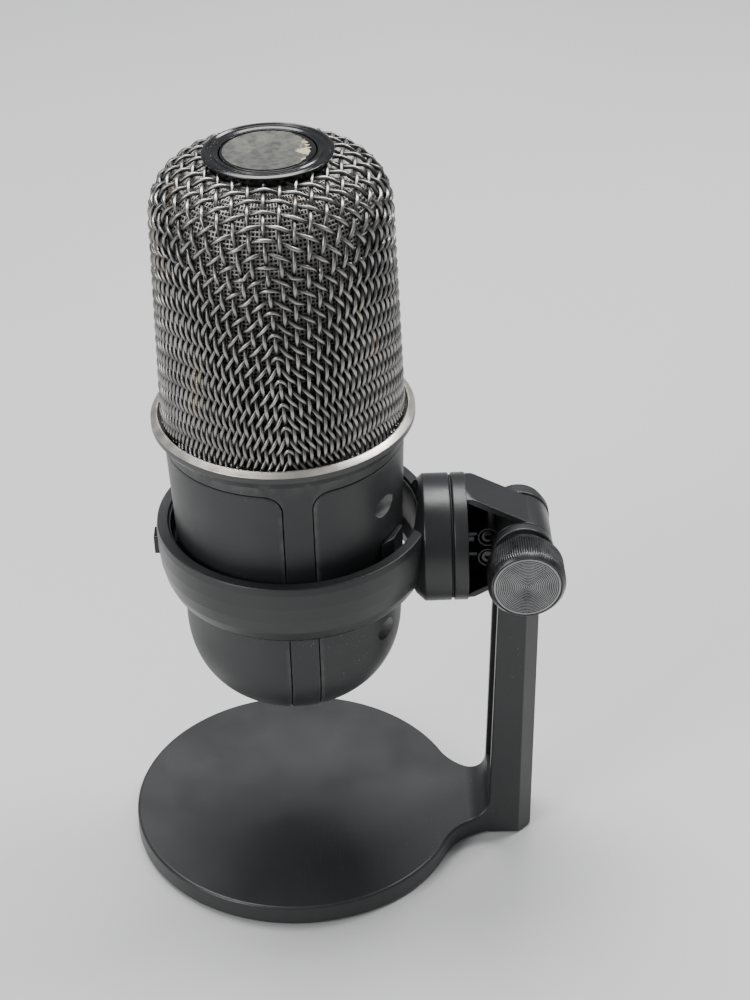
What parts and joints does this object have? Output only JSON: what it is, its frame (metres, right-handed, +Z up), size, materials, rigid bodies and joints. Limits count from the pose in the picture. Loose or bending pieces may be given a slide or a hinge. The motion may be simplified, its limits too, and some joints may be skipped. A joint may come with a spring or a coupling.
{
  "type": "desktop microphone",
  "caption": "Desktop condenser microphone with a woven wire grille and touch cap, held in a cradle ring on a tilting, swivelling bracket with a round weighted base.",
  "frame": {"origin": "middle of the round base's rubber pad, on the desk", "axes": "+Z up; +X from the microphone towards the post; -Y the thumb knob's side"},
  "size_m": [0.0973, 0.0764, 0.1736],
  "materials": {
    "charcoal_plastic": "fine spark-eroded texture, semi-matt, lightly scuffed",
    "body_plastic": "smoother semi-matt soft charcoal",
    "black_nylon": "matt black",
    "gloss_black": "polished black",
    "label": "worn grey film, blank",
    "rubber": "matt black",
    "wire_mesh": "dark coated steel wire, satin, worn bright on its crowns",
    "satin_metal": "bare satin bevel over a dark coated ring",
    "dark_metal": "gunmetal, turned and knurled",
    "zinc_steel": "zinc plated",
    "black_steel": "black oxide",
    "brass": "turned",
    "fibre": "matt fibre washer",
    "circuit_board": "green solder mask",
    "clear_plastic": "moulded clear plastic"
  },
  "bodies": {
    "stand": {"stand_frame": "charcoal_plastic", "base_weight": "zinc_steel", "weight_screw_1": "black_steel", "weight_screw_2": "black_steel", "weight_screw_3": "black_steel", "foot_pad": "rubber", "pivot_bolt": "zinc_steel", "bolt_cap": "charcoal_plastic", "knob_washer": "zinc_steel"},
    "knob": {"knob_body": "dark_metal", "knob_face": "dark_metal"},
    "bracket": {"tilt_bracket": "charcoal_plastic", "bracket_cover": "charcoal_plastic", "bracket_screw_upper": "black_steel", "bracket_screw_lower": "black_steel", "friction_washer_near": "fibre", "friction_washer_far": "fibre", "mount_stud": "zinc_steel", "stud_screw": "black_steel"},
    "microphone": {"cradle_ring": "charcoal_plastic", "ring_tab": "gloss_black", "cradle_key": "charcoal_plastic", "thread_adapter": "brass", "swivel_washer": "fibre", "chassis": "body_plastic", "front_shell": "body_plastic", "rear_shell": "body_plastic", "shell_screw_1": "black_steel", "shell_screw_2": "black_steel", "shell_screw_3": "black_steel", "shell_screw_4": "black_steel", "inner_frame": "black_nylon", "main_board": "circuit_board", "board_screw_1": "black_steel", "board_screw_2": "black_steel", "usb_socket": "zinc_steel", "usb_board": "circuit_board", "light_pipe": "clear_plastic", "status_led": "clear_plastic", "capsule": "zinc_steel", "capsule_holder": "rubber", "grille_rim": "satin_metal", "grille_weave": "wire_mesh", "grille_liner": "wire_mesh", "cap_rim": "gloss_black", "touch_disc": "gloss_black", "touch_label": "label", "touch_board": "circuit_board", "touch_spring": "brass", "cap_retainer": "zinc_steel"}
  },
  "joints": [
    {"name": "tilt", "type": "hinge", "parent": "stand", "child": "bracket", "pos_m": [0.0507, 0, 0.08025], "axis": [0, 1, 0], "range_deg": [-18, 60]},
    {"name": "swivel", "type": "hinge", "parent": "bracket", "child": "microphone", "pos_m": [0.0507, 0, 0.08025], "axis": [0.9998, 0, 0.022], "range_deg": [-90, 90]},
    {"name": "knob_turn", "type": "hinge", "parent": "stand", "child": "knob", "pos_m": [0.0507, 0, 0.08025], "axis": [0, -1, 0], "range_deg": [0, 360]}
  ]
}
